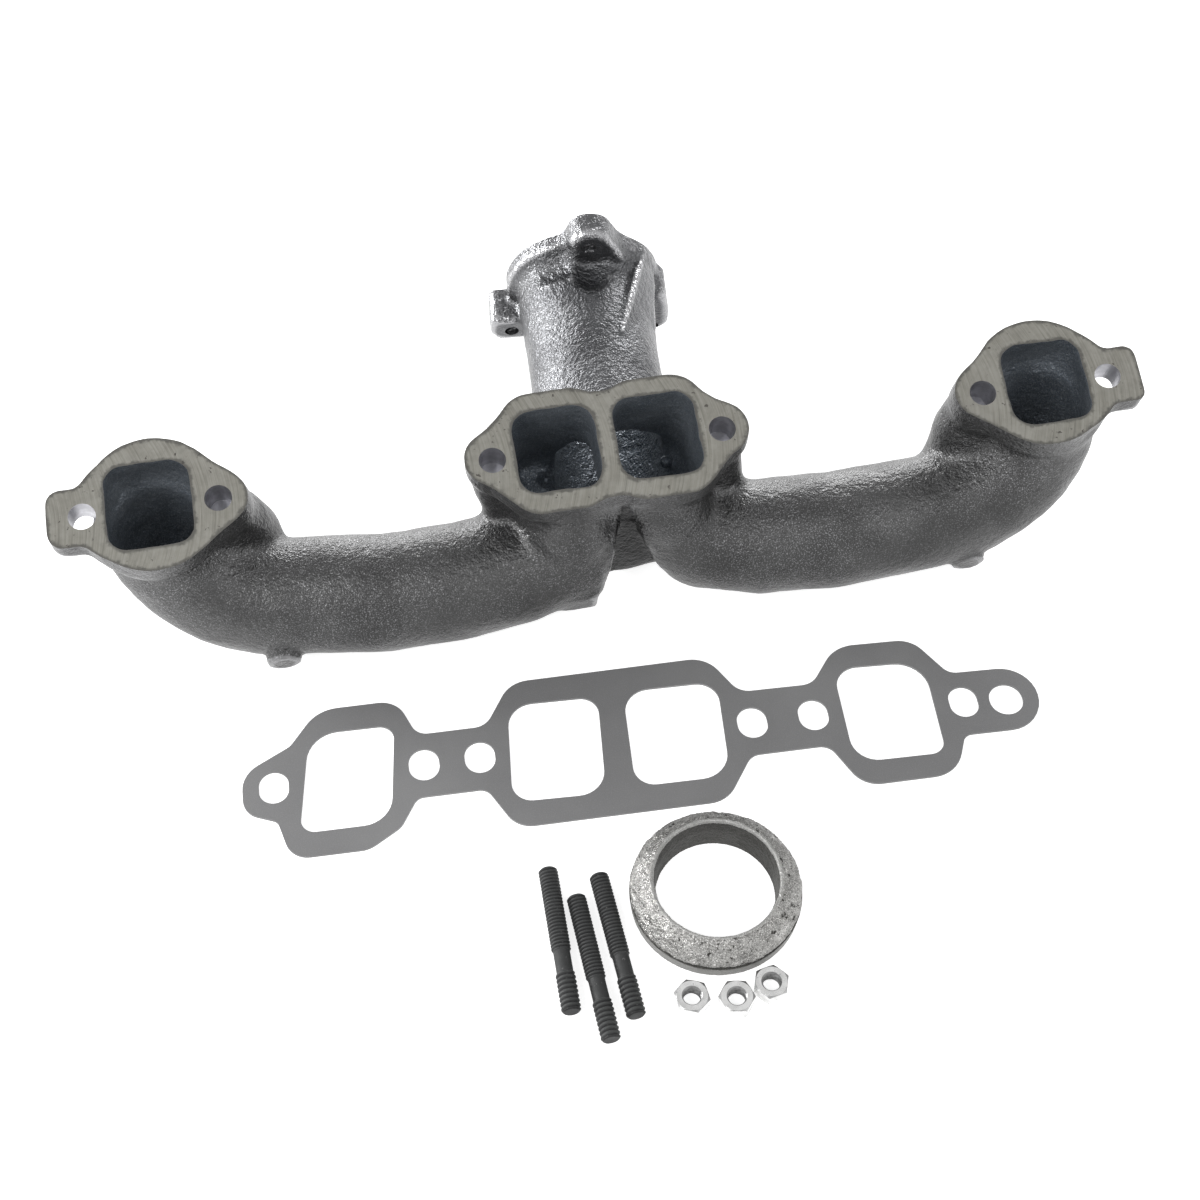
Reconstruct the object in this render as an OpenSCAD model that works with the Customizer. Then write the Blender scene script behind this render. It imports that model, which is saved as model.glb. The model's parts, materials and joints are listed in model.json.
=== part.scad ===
// Exhaust manifold kit: one iron log casting with four ports, its port gasket,
// the ring gasket for its outlet, and three outlet studs with their nuts.
// The casting lies on its back, tilted, and the loose pieces lie in front of it.
// Millimetres, +Z up, +X along the row of ports.

/* [Ports and bolt holes] */
// Centre-to-centre distance between the two end ports
end_port_pitch = 381.8; // [370:0.1:395]
// Centre-to-centre distance between the two centre ports
centre_port_pitch = 43; // [42:0.1:46]
// Width of a port along the row
port_w = 35; // [32:0.5:36]
// Height of a port across the row
port_h = 37.4; // [34:0.2:39]
// Corner radius of a port
port_corner = 8; // [5:0.5:12]
// Offset of the port centres above the line of bolt holes
port_rise = 1.2; // [0:0.1:3]
// Distance between the two bolt holes of the centre flange
centre_bolt_pitch = 97.8; // [96:0.1:100]
// Distance from the middle to the inner hole of an end flange
inner_bolt_x = 162.6; // [160:0.1:165]
// Distance from the middle to the outer hole of an end flange
outer_bolt_x = 218; // [215:0.1:220]
// Diameter of a bolt hole
bolt_hole_d = 11.4; // [10.5:0.1:12]
// Thickness of the port flanges
flange_t = 12; // [9:0.5:14]

/* [Arms and collector] */
// Outer radius of an arm
arm_r = 25.4; // [24:0.2:26.5]
// Radius of the gas passage in an arm
arm_core_r = 19.6; // [18:0.2:20.5]
// Depth of the arms' centre line below the port faces
arm_depth = 56.5; // [55:0.1:59]
// Distance of the arms' centre line to the front of the bolt holes
arm_drop = 30; // [27:0.5:32]
// Outer radius of the collector
collector_r = 30; // [28:0.5:32]

/* [Outlet] */
// Outer radius of the outlet neck
neck_r = 30.6; // [29:0.2:32]
// Diameter of the gas passage in the neck
outlet_bore_d = 50; // [46:0.5:52]
// Radius of the outlet flange rim
rim_r = 36.4; // [35:0.2:38]
// Thickness of the outlet flange rim
rim_t = 6.5; // [5:0.5:8]
// Diameter of the circle through the three stud holes
stud_circle_d = 79; // [76:0.5:82]
// Turn of the stud circle about the outlet's axis, in degrees
stud_clock = -1.6; // [-5:0.2:5]
// Slope of the outlet's axis below the port faces' plane, in degrees
outlet_slope = 5; // [3:0.5:10]
// Turn of the outlet's axis along the row, in degrees
outlet_yaw = 5; // [3:0.5:7]

/* [Port gasket] */
// Thickness of the port gasket
gasket_t = 1.2; // [0.8:0.1:2]
// Width of a bolt slot in the gasket
gasket_slot_w = 13; // [11:0.1:13.4]
// Height of a bolt slot in the gasket
gasket_slot_h = 15.4; // [13:0.1:17]

/* [Ring gasket] */
// Outer diameter of the ring gasket
ring_od = 70.5; // [68:0.5:71]
// Bore of the ring gasket
ring_id = 48.8; // [48:0.2:54]
// Height of the ring gasket
ring_h = 18; // [11:0.5:20]

/* [Studs and nuts] */
// Thread diameter of the studs and nuts
thread_d = 8; // [8:0.1:9.5]
// Diameter of a hole drilled for that thread
tapped_d = 6.8; // [6.6:0.1:7]
// Length of a stud
stud_len = 63; // [55:0.5:75]
// Width of a nut across its flats
nut_af = 13; // [12:0.1:14]
// Height of a nut
nut_h = 6.6; // [6:0.1:8.5]

/* [Layout] */
// Tilt of the casting towards the front, in degrees
cast_tilt = 16; // [15:0.5:17]
// Height of the middle of the port faces above the floor
cast_lift = 88.53; // [88:0.01:92]
// Position of the kit's middle line behind the floor's zero
kit_y = 18.02; // [14:0.01:24]

/* [Hidden] */
$fn = 64;

end_port_x = end_port_pitch / 2;
centre_port_x = centre_port_pitch / 2;
centre_bolt_x = centre_bolt_pitch / 2;
through = 1;

// Outlet: the middle of its face, in the casting's own axes
outlet_c = [13.7, 128, -90.2];
collector_c = [6, -5, -arm_depth];
outlet_axis = [sin(outlet_yaw) * cos(outlet_slope), cos(outlet_yaw) * cos(outlet_slope),
               -sin(outlet_slope)];
straight = 22;
bend_c = outlet_c - straight * outlet_axis;
neck_v = bend_c - collector_c;
neck_len = norm(neck_v);
neck_yaw = atan2(neck_v[0], neck_v[1]);
neck_slope = asin(-neck_v[2] / neck_len);
// How far the round bend stands proud of the neck's straight runs
bend_bead = 0.4;
boss_t = 13;
drill_room_depth = 34;
// How far the centre body reaches below the arms' centre line
body_under = 9;
square_ear_t = 18;
round_ear_t = 18;
stud_r = stud_circle_d / 2;

iron = [0.33, 0.33, 0.34];
steel_sheet = [0.53, 0.53, 0.54];
graphite = [0.55, 0.55, 0.55];
black_oxide = [0.09, 0.09, 0.10];
zinc = [0.85, 0.86, 0.88];

// ---- shapes that several pieces use ----

corner_steps = 8;
arc_step = 9;

function dir2(a) = [cos(a), sin(a)];
function unit(v) = v / norm(v);

// Direction, in degrees, in which the line that touches circles a and b, each [x, y, r],
// faces outwards, on the right of the way from a to b
function touch(a, b) =
    let (d = [b[0] - a[0], b[1] - a[1]])
    atan2(d[1], d[0]) - acos((a[2] - b[2]) / norm(d));

// Points of the arc of circle q between the lines that touch it and its two neighbours
function rim_arc(p, q, s) =
    let (first = touch(p, q),
         swing = touch(q, s) - first,
         turn = swing - 360 * floor(swing / 360),
         steps = ceil(turn / arc_step))
    [for (i = [0 : steps]) [q[0], q[1]] + q[2] * dir2(first + turn * i / steps)];

// A rounded flat shape round the circles in the list, which run anticlockwise
module blob(c) {
    n = len(c);
    polygon([for (i = [0 : n - 1]) for (v = rim_arc(c[(i + n - 1) % n], c[i], c[(i + 1) % n])) v]);
}

// A rectangle with its own radius at each corner: bottom left, bottom right, top right, top left
module rounded_box(x0, y0, x1, y1, r) {
    blob([[x0 + r[0], y0 + r[0], r[0]],
          [x1 - r[1], y0 + r[1], r[1]],
          [x1 - r[2], y1 - r[2], r[2]],
          [x0 + r[3], y1 - r[3], r[3]]]);
}

// Points of the arc of radius r that rounds the corner q on the way from p to s
function corner_arc(p, q, s, r) =
    let (a = unit(p - q), b = unit(s - q),
         half = acos(a * b) / 2,
         c = q + unit(a + b) * r / sin(half),
         first = q + a * r / tan(half) - c,
         start = atan2(first[1], first[0]),
         turn = (a[1] * b[0] > a[0] * b[1] ? 1 : -1) * (180 - 2 * half))
    [for (i = [0 : corner_steps]) c + r * dir2(start + turn * i / corner_steps)];

// An outline through the corners in the list, each [x, y, r], with rounded corners
function rounded(list) =
    let (n = len(list), at = [for (q = list) [q[0], q[1]]])
    [for (i = [0 : n - 1])
        for (v = corner_arc(at[(i + n - 1) % n], at[i], at[(i + 1) % n], list[i][2])) v];

// A plate of the flat shape below it, from depth lo up to depth hi
module plate(lo, hi) {
    translate([0, 0, lo])
        linear_extrude(height = hi - lo)
            children();
}

function bezier(a, b, c, d, s) =
    a * pow(1 - s, 3) + b * 3 * s * pow(1 - s, 2) + c * 3 * s * s * (1 - s) + d * pow(s, 3);
function heading(path, i) =
    unit(path[min(i + 1, len(path) - 1)] - path[max(i - 1, 0)]);

// A round bar along a path, with a radius for each of its points
module bar_along(path, radii, sides) {
    rings = len(path);
    points = [for (i = [0 : rings - 1])
        let (t = heading(path, i), a = unit(cross(t, [0, 1, 0])), b = cross(a, t))
        for (j = [0 : sides - 1])
            path[i] + radii[i] * (cos(360 * j / sides) * a + sin(360 * j / sides) * b)];
    walls = [for (i = [0 : rings - 2]) for (j = [0 : sides - 1])
        let (k = (j + 1) % sides, p = i * sides, q = (i + 1) * sides)
        for (f = [[p + j, p + k, q + j], [p + k, q + k, q + j]]) f];
    first = [[for (j = [sides - 1 : -1 : 0]) j]];
    last = [[for (j = [0 : sides - 1]) (rings - 1) * sides + j]];
    polyhedron(points = points, faces = concat(walls, first, last));
}

// ---- the casting, in its own axes: x along the ports, y in the plane of the
// ---- port faces towards the outlet, z out of the port faces

elbow_steps = 8;

// The arm's centre line on side s, from under its flange to the start of its straight run
function elbow_path(s, start) =
    let (a = [s * end_port_x, port_rise, start],
         d = [s * 133, -arm_drop + (s < 0 ? 3 : 0.2), -arm_depth],
         sag = s < 0 ? [-1, -7, -37] : [9, -15, -34])
    [for (i = [0 : elbow_steps])
        bezier(a, a + sag, d + [s * 37, 0, 0], d, i / elbow_steps)];

function run_path(s) =
    [[s * 100, -arm_drop - (s < 0 ? 1 : 1.5), -arm_depth],
     [s * 66, -arm_drop + (s < 0 ? -0.4 : 0.4), -arm_depth],
     [s * 42, -arm_drop + (s < 0 ? 2.8 : 5), -arm_depth]];

function arm_path(s) =
    concat([[s * end_port_x, port_rise, -5]],
           elbow_path(s, -12),
           run_path(s),
           s < 0 ? [[-24, -arm_drop + 5.4, -arm_depth], [-10.5, -arm_drop + 7, -arm_depth]]
                 : [[30, -arm_drop + 10, -arm_depth], [20, -arm_drop + 16, -arm_depth]]);

function arm_radii(s) =
    concat([24.4], [for (i = [0 : elbow_steps]) 24.4 + (arm_r - 24.4) * i / elbow_steps],
           [arm_r + 0.2, arm_r + 0.2, s < 0 ? arm_r : arm_r - 1.4],
           s < 0 ? [arm_r - 1.8, arm_r - 4] : [arm_r - 5, arm_r - 9]);

function core_path(s) =
    concat(elbow_path(s, -15),
           run_path(s),
           [[s * 22, -arm_drop + 13, -arm_depth], collector_c]);

function core_radii() =
    concat([for (i = [0 : elbow_steps]) 18 + (arm_core_r - 18) * i / elbow_steps],
           [arm_core_r, arm_core_r, arm_core_r - 1.6, 13.4, 16]);

// Solid leg under a bolt hole, down into the arm, its foot moved by lean_x and lean_y
function leg_path(x, lean_x, lean_y) =
    [[x, 1, -6], [x, 1 + lean_y * 0.1, -20], [x + lean_x * 0.5, 1 + lean_y * 0.4, -34],
     [x + lean_x, lean_y, -50]];

module end_flange_shape(s) {
    mirror([s < 0 ? 1 : 0, 0]) {
        // Ring round the port, with the inner bolt lobe
        blob([[inner_bolt_x, 0, 11.4], [189, 1.5, 29.1]]);
        // Squared outer ear, and its shoulders
        rounded_box(200, -13, 232.5, 12.8, [3, s < 0 ? 6.5 : 4, s < 0 ? 3 : 5, 3]);
        blob([[202.5, -3, 18], [203, 3, 18.6]]);
    }
}

module centre_flange_shape() {
    for (s = [-1, 1])
        mirror([s < 0 ? 1 : 0, 0]) {
            blob([[14, -13, 13.8], [30.6, -13.2, 13.6], [29.8, 14.2, 13.8], [14, 14.4, 13.8]]);
            blob([[29, -1, 24.2], [centre_bolt_x, 0, 10.8], [29, 0.8, 23.8]]);
        }
    rounded_box(-24, -23.6, 24, 24.8, [2, 2, 2, 2]);
}

module port_shape(x) {
    rounded_box(x - port_w / 2, port_rise - port_h / 2, x + port_w / 2, port_rise + port_h / 2,
                [port_corner, port_corner, port_corner, port_corner]);
}

// Puts its children on the outlet's face: z out of the outlet, -y to its top
module on_outlet() {
    translate(outlet_c)
        rotate([0, 0, -outlet_yaw])
            rotate([-90 - outlet_slope, 0, 0])
                children();
}

// Puts its children in the neck: z from the collector to the outlet's bend
module on_neck() {
    translate(collector_c)
        rotate([0, 0, -neck_yaw])
            rotate([-90 - neck_slope, 0, 0])
                children();
}

module at_stud(a) {
    translate([stud_r * cos(a + stud_clock), -stud_r * sin(a + stud_clock), 0])
        children();
}

module outlet_flange() {
    rotate_extrude()
        polygon([[0, -straight], [neck_r, -straight], [neck_r + 0.8, -16],
                 [neck_r + 2.6, -10], [rim_r, -rim_t], [rim_r, 0], [0, 0]]);
    // Top boss, with its web down to the neck
    plate(-boss_t, 0)
        blob([[-8, -20, 8], [16, -20, 8], [2, -39.8, 10.4]]);
    // Squared ear on the left
    plate(-square_ear_t, 0)
        blob([[-42.2, 12.4, 2.6], [-20, 12.4, 3], [-20, 20.4, 6], [-37.6, 18.6, 7.6]]);
    // Round ear on the right
    plate(-round_ear_t, 0)
        blob([[20, 16, 8], [22, 0, 6], [33.2, 1, 6.6], [33, 16.8, 9]]);
    // Flat-sided rib from the rim down to the neck
    polyhedron(
        points = [[28.4, -22.6, -1], [14.6, -31.4, -46], [35, -8, -1], [31.4, -6, -36],
                  [10, -10, -1], [8, -8, -46]],
        faces = [[0, 3, 1], [0, 2, 3], [0, 4, 2], [1, 3, 5], [0, 5, 4], [0, 1, 5],
                 [2, 5, 3], [2, 4, 5]]);
}

module casting_body() {
    for (s = [-1, 1]) {
        plate(-flange_t, 0)
            end_flange_shape(s);
        bar_along(arm_path(s), arm_radii(s), 18);
        bar_along(leg_path(s * (inner_bolt_x + 0.6), s < 0 ? 5 : -2, s < 0 ? 2 : -8),
                  s < 0 ? [11.4, 13.6, 15.6, 17] : [11.4, 13.2, 15, 16], 16);
        bar_along(leg_path(s * (centre_bolt_x - (s < 0 ? 1.6 : 0.4)), s < 0 ? 8 : 1, -9),
                  [10.4, 10.6, 11.6, 12.6], 16);
    }
    plate(-flange_t, 0)
        centre_flange_shape();
    // Body under the centre flange
    plate(-arm_depth - body_under, -flange_t + 1)
        rounded_box(-43, -23, 43, 26, [14, 14, 16, 16]);
    // Web between the arms and the collector
    plate(-arm_depth - 14, -arm_depth + 15)
        rounded_box(-14, -32, 31, 0, [9, 5, 6, 6]);
    translate(collector_c)
        sphere(r = collector_r);
    on_neck()
        cylinder(r = neck_r, h = neck_len);
    on_outlet() {
        translate([0, 0, -straight])
            sphere(r = neck_r + bend_bead);
        outlet_flange();
    }
    // Foundry pads under the arms
    for (p = [[-148, -54.8, 7.4], [157.4, -54.4, 7], [-17.5, -47, 7.6]])
        translate([p[0], p[1], -arm_depth - 6])
            rotate([-90, 0, 0])
                cylinder(r = p[2], h = 14);
}

module casting_cores() {
    for (s = [-1, 1]) {
        plate(-18, through)
            port_shape(s * end_port_x);
        bar_along(core_path(s), core_radii(), 16);
        plate(-arm_depth, through)
            port_shape(s * centre_port_x);
    }
    translate(collector_c)
        sphere(r = collector_r - 5.6);
    on_neck()
        cylinder(d = outlet_bore_d, h = neck_len);
    on_outlet() {
        translate([0, 0, -straight]) {
            sphere(r = outlet_bore_d / 2 + bend_bead);
            cylinder(d = outlet_bore_d, h = straight + 12);
        }
        // Room for a drill behind the top boss
        translate([2, -40.5, -drill_room_depth])
            cylinder(r = 10.6, h = drill_room_depth - boss_t);
    }
}

module drilled_holes() {
    for (x = [-outer_bolt_x, -inner_bolt_x, -centre_bolt_x,
              centre_bolt_x, inner_bolt_x, outer_bolt_x])
        translate([x, 0, -flange_t - 4])
            cylinder(d = bolt_hole_d, h = flange_t + 4 + through);
    on_outlet()
        for (a = [90, 210, 330])
            at_stud(a)
                translate([0, 0, -30])
                    cylinder(d = tapped_d, h = 30 + through);
}

module manifold_casting() {
    color(iron)
        translate([0, 16.65 + kit_y, cast_lift])
            rotate([cast_tilt, 0, 0])
                difference() {
                    casting_body();
                    casting_cores();
                    drilled_holes();
                }
}

// ---- the port gasket, flat on the floor ----

module gasket_slot(x, y, w) {
    half = (gasket_slot_h - w) / 2;
    translate([x, y - half])
        circle(d = w);
    translate([x, y + half])
        circle(d = w);
    translate([x - w / 2, y - half])
        square([w, 2 * half]);
}

module gasket_windows() {
    polygon(rounded([[-139.6, -23.3, 6], [-101.2, -23.4, 13], [-96.2, 24.1, 6.5],
                     [-133, 24.5, 14]]));
    polygon(rounded([[-50.3, -21.2, 8.6], [-10.8, -22.4, 11.7], [-7.6, 25.8, 8],
                     [-46.9, 26.8, 11]]));
    polygon(rounded([[1.9, -21.2, 9], [42.6, -21.6, 12.5], [45.1, 26, 9.6], [3.6, 26.7, 11]]));
    polygon(rounded([[96.1, -22.9, 11.5], [135.8, -23.6, 6.5], [136.7, 23.4, 14],
                     [96.5, 25.2, 10]]));
}

module gasket_outline() {
    left_tab_foot = [[-162.3, -10.3, 9], [-148.4, -16.1, 4]];
    first_window_foot = [[-143.6, -34.4, 10], [-111.5, -34.5, 12], [-97.5, -26, 10]];
    left_strap_foot = [[-89.6, -13.1, 5], [-60.3, -13.1, 5.5]];
    centre_foot = [[-49.7, -33.1, 12], [39.2, -33.1, 14]];
    right_strap_foot = [[53.2, -12.8, 7], [86.9, -12.8, 7]];
    last_window_foot = [[97.4, -34.2, 13], [138.2, -34.2, 15]];
    right_tab = [[145.8, -16, 4.5], [182, -16.5, 15.2], [182, 14.2, 15.2], [146.3, 15.4, 7]];
    last_window_top = [[133.8, 35.2, 13], [99.5, 36.3, 16]];
    right_strap_top = [[86, 18.5, 9], [53.8, 19.1, 9]];
    centre_top = [[42.4, 38.8, 14], [-44.6, 38.2, 14]];
    left_strap_top = [[-57.4, 17.5, 9], [-87, 17.5, 7]];
    first_window_top = [[-94.3, 36, 11.5], [-128.5, 36, 17]];
    left_tab_top = [[-141.2, 19.5, 8], [-162.3, 8.3, 13]];
    polygon(rounded(concat(left_tab_foot, first_window_foot, left_strap_foot, centre_foot,
                           right_strap_foot, last_window_foot, right_tab, last_window_top,
                           right_strap_top, centre_top, left_strap_top, first_window_top,
                           left_tab_top)));
}

module port_gasket() {
    color(steel_sheet)
        translate([-9.7, -76.87 + kit_y, 0])
            rotate([0, 0, -1.8])
                linear_extrude(height = gasket_t)
                    difference() {
                        gasket_outline();
                        gasket_windows();
                        gasket_slot(-149.1, 0.3, gasket_slot_w - 0.4);
                        gasket_slot(-85.4, 2.4, gasket_slot_w);
                        gasket_slot(-61.5, 2.6, gasket_slot_w);
                        gasket_slot(56.5, 3, gasket_slot_w);
                        gasket_slot(83.3, 3, gasket_slot_w);
                        gasket_slot(149.1, 0.2, gasket_slot_w - 0.4);
                        gasket_slot(167.7, -1.2, gasket_slot_w + 1.6);
                    }
}

// ---- the ring gasket ----

module outlet_ring_gasket() {
    ro = ring_od / 2;
    ri = ring_id / 2;
    color(graphite)
        translate([13.9, -154 + kit_y, 0])
            rotate_extrude($fn = 96)
                polygon([[ri, 0.8], [ri + 0.8, 0], [ro - 1.4, 0], [ro - 0.6, 1],
                         [ro - 0.4, ring_h - 11], [ro, ring_h - 10], [ro - 0.2, ring_h - 9],
                         [ro - 1.6, ring_h - 6.4], [ro - 4, ring_h - 3], [ro - 6, ring_h - 0.8],
                         [ro - 7.4, ring_h], [ri + 2, ring_h], [ri + 0.4, ring_h - 1.2],
                         [ri, ring_h - 3]]);
}

// ---- studs and nuts ----

module stud() {
    r = thread_d / 2;
    long_end = 0.585 * stud_len;
    short_start = 0.735 * stud_len;
    rotate_extrude($fn = 48)
        polygon([[0, 0], [r - 0.9, 0], [r, 0.9], [r, long_end - 0.8], [r - 0.6, long_end],
                 [r - 0.6, short_start], [r, short_start + 0.8], [r, stud_len - 0.9],
                 [r - 0.9, stud_len], [0, stud_len]]);
}

// A stud on the floor with its long thread's end at x, y, pointing towards angle a
module lying_stud(x, y, a) {
    color(black_oxide)
        translate([x, y + kit_y, thread_d / 2])
            rotate([0, 90, a])
                stud();
}

module nut() {
    corner = nut_af / sqrt(3);
    difference() {
        intersection() {
            cylinder(r = corner, h = nut_h, $fn = 6);
            rotate_extrude($fn = 48)
                polygon([[0, 0], [nut_af / 2 - 0.2, 0], [corner, 0.7], [corner, nut_h - 0.7],
                         [nut_af / 2 - 0.2, nut_h], [0, nut_h]]);
        }
        translate([0, 0, -through])
            cylinder(d = tapped_d, h = nut_h + 2 * through);
    }
}

module flat_nut(x, y, a) {
    color(zinc)
        translate([x, y + kit_y, 0])
            rotate([0, 0, a])
                nut();
}

module stud_1() {
    lying_stud(-51.4, -131.6, -90.6);
}

module stud_2() {
    lying_stud(-42.1, -145.8, -87);
}

module stud_3() {
    lying_stud(-31.4, -137.8, -86.3);
}

module nut_1() {
    flat_nut(-4.6, -197.0, 8);
}

module nut_2() {
    flat_nut(12.7, -200.2, 20);
}

module nut_3() {
    flat_nut(27.4, -196.6, 41);
}

manifold_casting();
port_gasket();
outlet_ring_gasket();
stud_1();
stud_2();
stud_3();
nut_1();
nut_2();
nut_3();
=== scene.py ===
import itertools
import json
import math

import bmesh
import bpy
import numpy as np
import openvdb
from mathutils import Matrix, Vector


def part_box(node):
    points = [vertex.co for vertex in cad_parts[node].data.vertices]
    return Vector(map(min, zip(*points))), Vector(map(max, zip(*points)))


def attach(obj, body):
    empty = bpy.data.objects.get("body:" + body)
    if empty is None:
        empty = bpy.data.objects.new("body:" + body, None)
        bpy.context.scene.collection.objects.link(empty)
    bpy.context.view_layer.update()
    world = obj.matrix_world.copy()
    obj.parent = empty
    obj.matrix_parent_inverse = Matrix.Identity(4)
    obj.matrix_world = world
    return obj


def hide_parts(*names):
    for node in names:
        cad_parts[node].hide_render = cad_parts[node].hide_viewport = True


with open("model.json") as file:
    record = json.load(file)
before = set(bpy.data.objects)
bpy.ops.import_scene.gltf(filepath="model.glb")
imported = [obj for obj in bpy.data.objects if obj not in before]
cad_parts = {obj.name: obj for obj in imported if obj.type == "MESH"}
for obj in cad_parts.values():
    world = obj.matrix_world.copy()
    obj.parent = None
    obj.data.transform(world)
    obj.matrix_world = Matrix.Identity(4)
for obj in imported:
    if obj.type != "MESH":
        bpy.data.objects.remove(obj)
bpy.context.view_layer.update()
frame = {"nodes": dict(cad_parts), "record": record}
scene = bpy.context.scene
mounts = {m["name"]: m for m in frame["record"]["mounts"]}
MM = 0.001


# ---- camera ----

def set_camera():
    eye = Vector((-96.44, -490.28, 737.2)) * MM
    look = Vector((0.1001, 0.5648, -0.8192))
    data = bpy.data.cameras.new("camera")
    data.lens = 60.02
    data.sensor_width = 36.0
    data.clip_start = 0.01
    camera = bpy.data.objects.new("camera", data)
    camera.location = eye
    camera.rotation_euler = look.to_track_quat("-Z", "Y").to_euler()
    scene.collection.objects.link(camera)
    scene.camera = camera


# ---- distances that shape the casting, in mm, positive outside the iron ----

def smooth_min(a, b, blend):
    """The nearer of two distances, with a fillet where they meet."""
    if blend <= 0:
        return np.minimum(a, b)
    h = np.maximum(blend - np.abs(a - b), 0) / blend
    return np.minimum(a, b) - h * h * (blend / 4)


def smooth_max(a, b, blend):
    """The farther of two distances, with a fillet where they meet."""
    return -smooth_min(-a, -b, blend)


def sphere(centre, radius):
    def distance(x, y, z):
        return np.sqrt((x - centre[0]) ** 2 + (y - centre[1]) ** 2 + (z - centre[2]) ** 2) - radius
    return distance


def bar(points, radii, flat_end=None):
    """A round bar along the points; flat_end is the rounding of a squared-off last end."""
    points = [np.array(p, float) for p in points]
    last = points[-1]
    heading = (last - points[-2]) / np.linalg.norm(last - points[-2])

    def distance(x, y, z):
        best = None
        for a, b, ra, rb in zip(points, points[1:], radii, radii[1:]):
            way = b - a
            run = (x - a[0]) * way[0] + (y - a[1]) * way[1] + (z - a[2]) * way[2]
            t = np.clip(run / float(way @ way), 0, 1)
            off = np.sqrt((x - a[0] - t * way[0]) ** 2 + (y - a[1] - t * way[1]) ** 2
                          + (z - a[2] - t * way[2]) ** 2)
            piece = off - (ra + (rb - ra) * t)
            best = piece if best is None else np.minimum(best, piece)
        if flat_end is not None:
            past = ((x - last[0]) * heading[0] + (y - last[1]) * heading[1]
                    + (z - last[2]) * heading[2])
            best = smooth_max(best, past, flat_end)
        return best
    return distance


def flat_distance(corners, x, y):
    """Distance to a closed outline in the plane."""
    best = None
    inside = None
    for (ax, ay), (bx, by) in zip(corners, corners[1:] + corners[:1]):
        ex = bx - ax
        ey = by - ay
        wx = x - ax
        wy = y - ay
        t = np.clip((wx * ex + wy * ey) / (ex * ex + ey * ey), 0, 1)
        gap = (wx - ex * t) ** 2 + (wy - ey * t) ** 2
        spans = ((ay <= y) & (by > y)) | ((by <= y) & (ay > y))
        crossed = spans & ((ex * wy - ey * wx > 0) == (by > ay))
        best = gap if best is None else np.minimum(best, gap)
        inside = crossed if inside is None else inside ^ crossed
    return np.where(inside, -1, 1) * np.sqrt(best)


def wrap(circles):
    """The outline of a band pulled tight round the circles, each (x, y, radius)."""
    degrees = 10
    points = sorted({(round(cx + r * math.cos(math.radians(a)), 4),
                      round(cy + r * math.sin(math.radians(a)), 4))
                     for cx, cy, r in circles for a in range(0, 360, degrees)})

    def half(run):
        chain = []
        for p in run:
            while len(chain) > 1 and ((chain[-1][0] - chain[-2][0]) * (p[1] - chain[-2][1])
                                      <= (chain[-1][1] - chain[-2][1]) * (p[0] - chain[-2][0])):
                chain.pop()
            chain.append(p)
        return chain[:-1]
    return half(points) + half(points[::-1])


def rounded_box(x0, y0, x1, y1, radii):
    """A rectangle's outline; radii run bottom left, bottom right, top right, top left."""
    a, b, c, d = radii
    return wrap([(x0 + a, y0 + a, a), (x1 - b, y0 + b, b),
                 (x1 - c, y1 - c, c), (x0 + d, y1 - d, d)])


def mirrored(outline, side):
    """The outline itself on the right side, and its mirror image on the left."""
    return outline if side > 0 else [(-x, y) for x, y in reversed(outline)]


def plate(outline, low, high, edge):
    """A plate of that outline between two depths, its edges rounded."""
    middle = (low + high) / 2
    half = (high - low) / 2

    def distance(x, y, z):
        return smooth_max(flat_distance(outline, x, y), np.abs(z - middle) - half, edge)
    return distance


def turned_profile(profile):
    """A solid of revolution about z from its outline of (radius, height) corners."""
    def distance(x, y, z):
        return flat_distance(profile, np.sqrt(x * x + y * y), z)
    return distance


def facets(corners, edge):
    """The solid with flat facets that the corner points span."""
    corners = np.array(corners, float)
    planes = []
    for a, b, c in itertools.combinations(corners, 3):
        normal = np.cross(b - a, c - a)
        normal /= np.linalg.norm(normal)
        heights = (corners - a) @ normal
        for sign in (1, -1):
            if (sign * heights).max() < 1e-6:
                planes.append((sign * normal, sign * float(a @ normal)))

    def distance(x, y, z):
        best = None
        for normal, offset in planes:
            out = x * normal[0] + y * normal[1] + z * normal[2] - offset
            best = out if best is None else smooth_max(best, out, edge)
        return best
    return distance


def placed(distance, centre, axes):
    """The same shape, moved to the centre and turned to the axes."""
    def moved(x, y, z):
        px = x - centre[0]
        py = y - centre[1]
        pz = z - centre[2]
        return distance(*[px * a[0] + py * a[1] + pz * a[2] for a in axes])
    return moved


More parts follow.
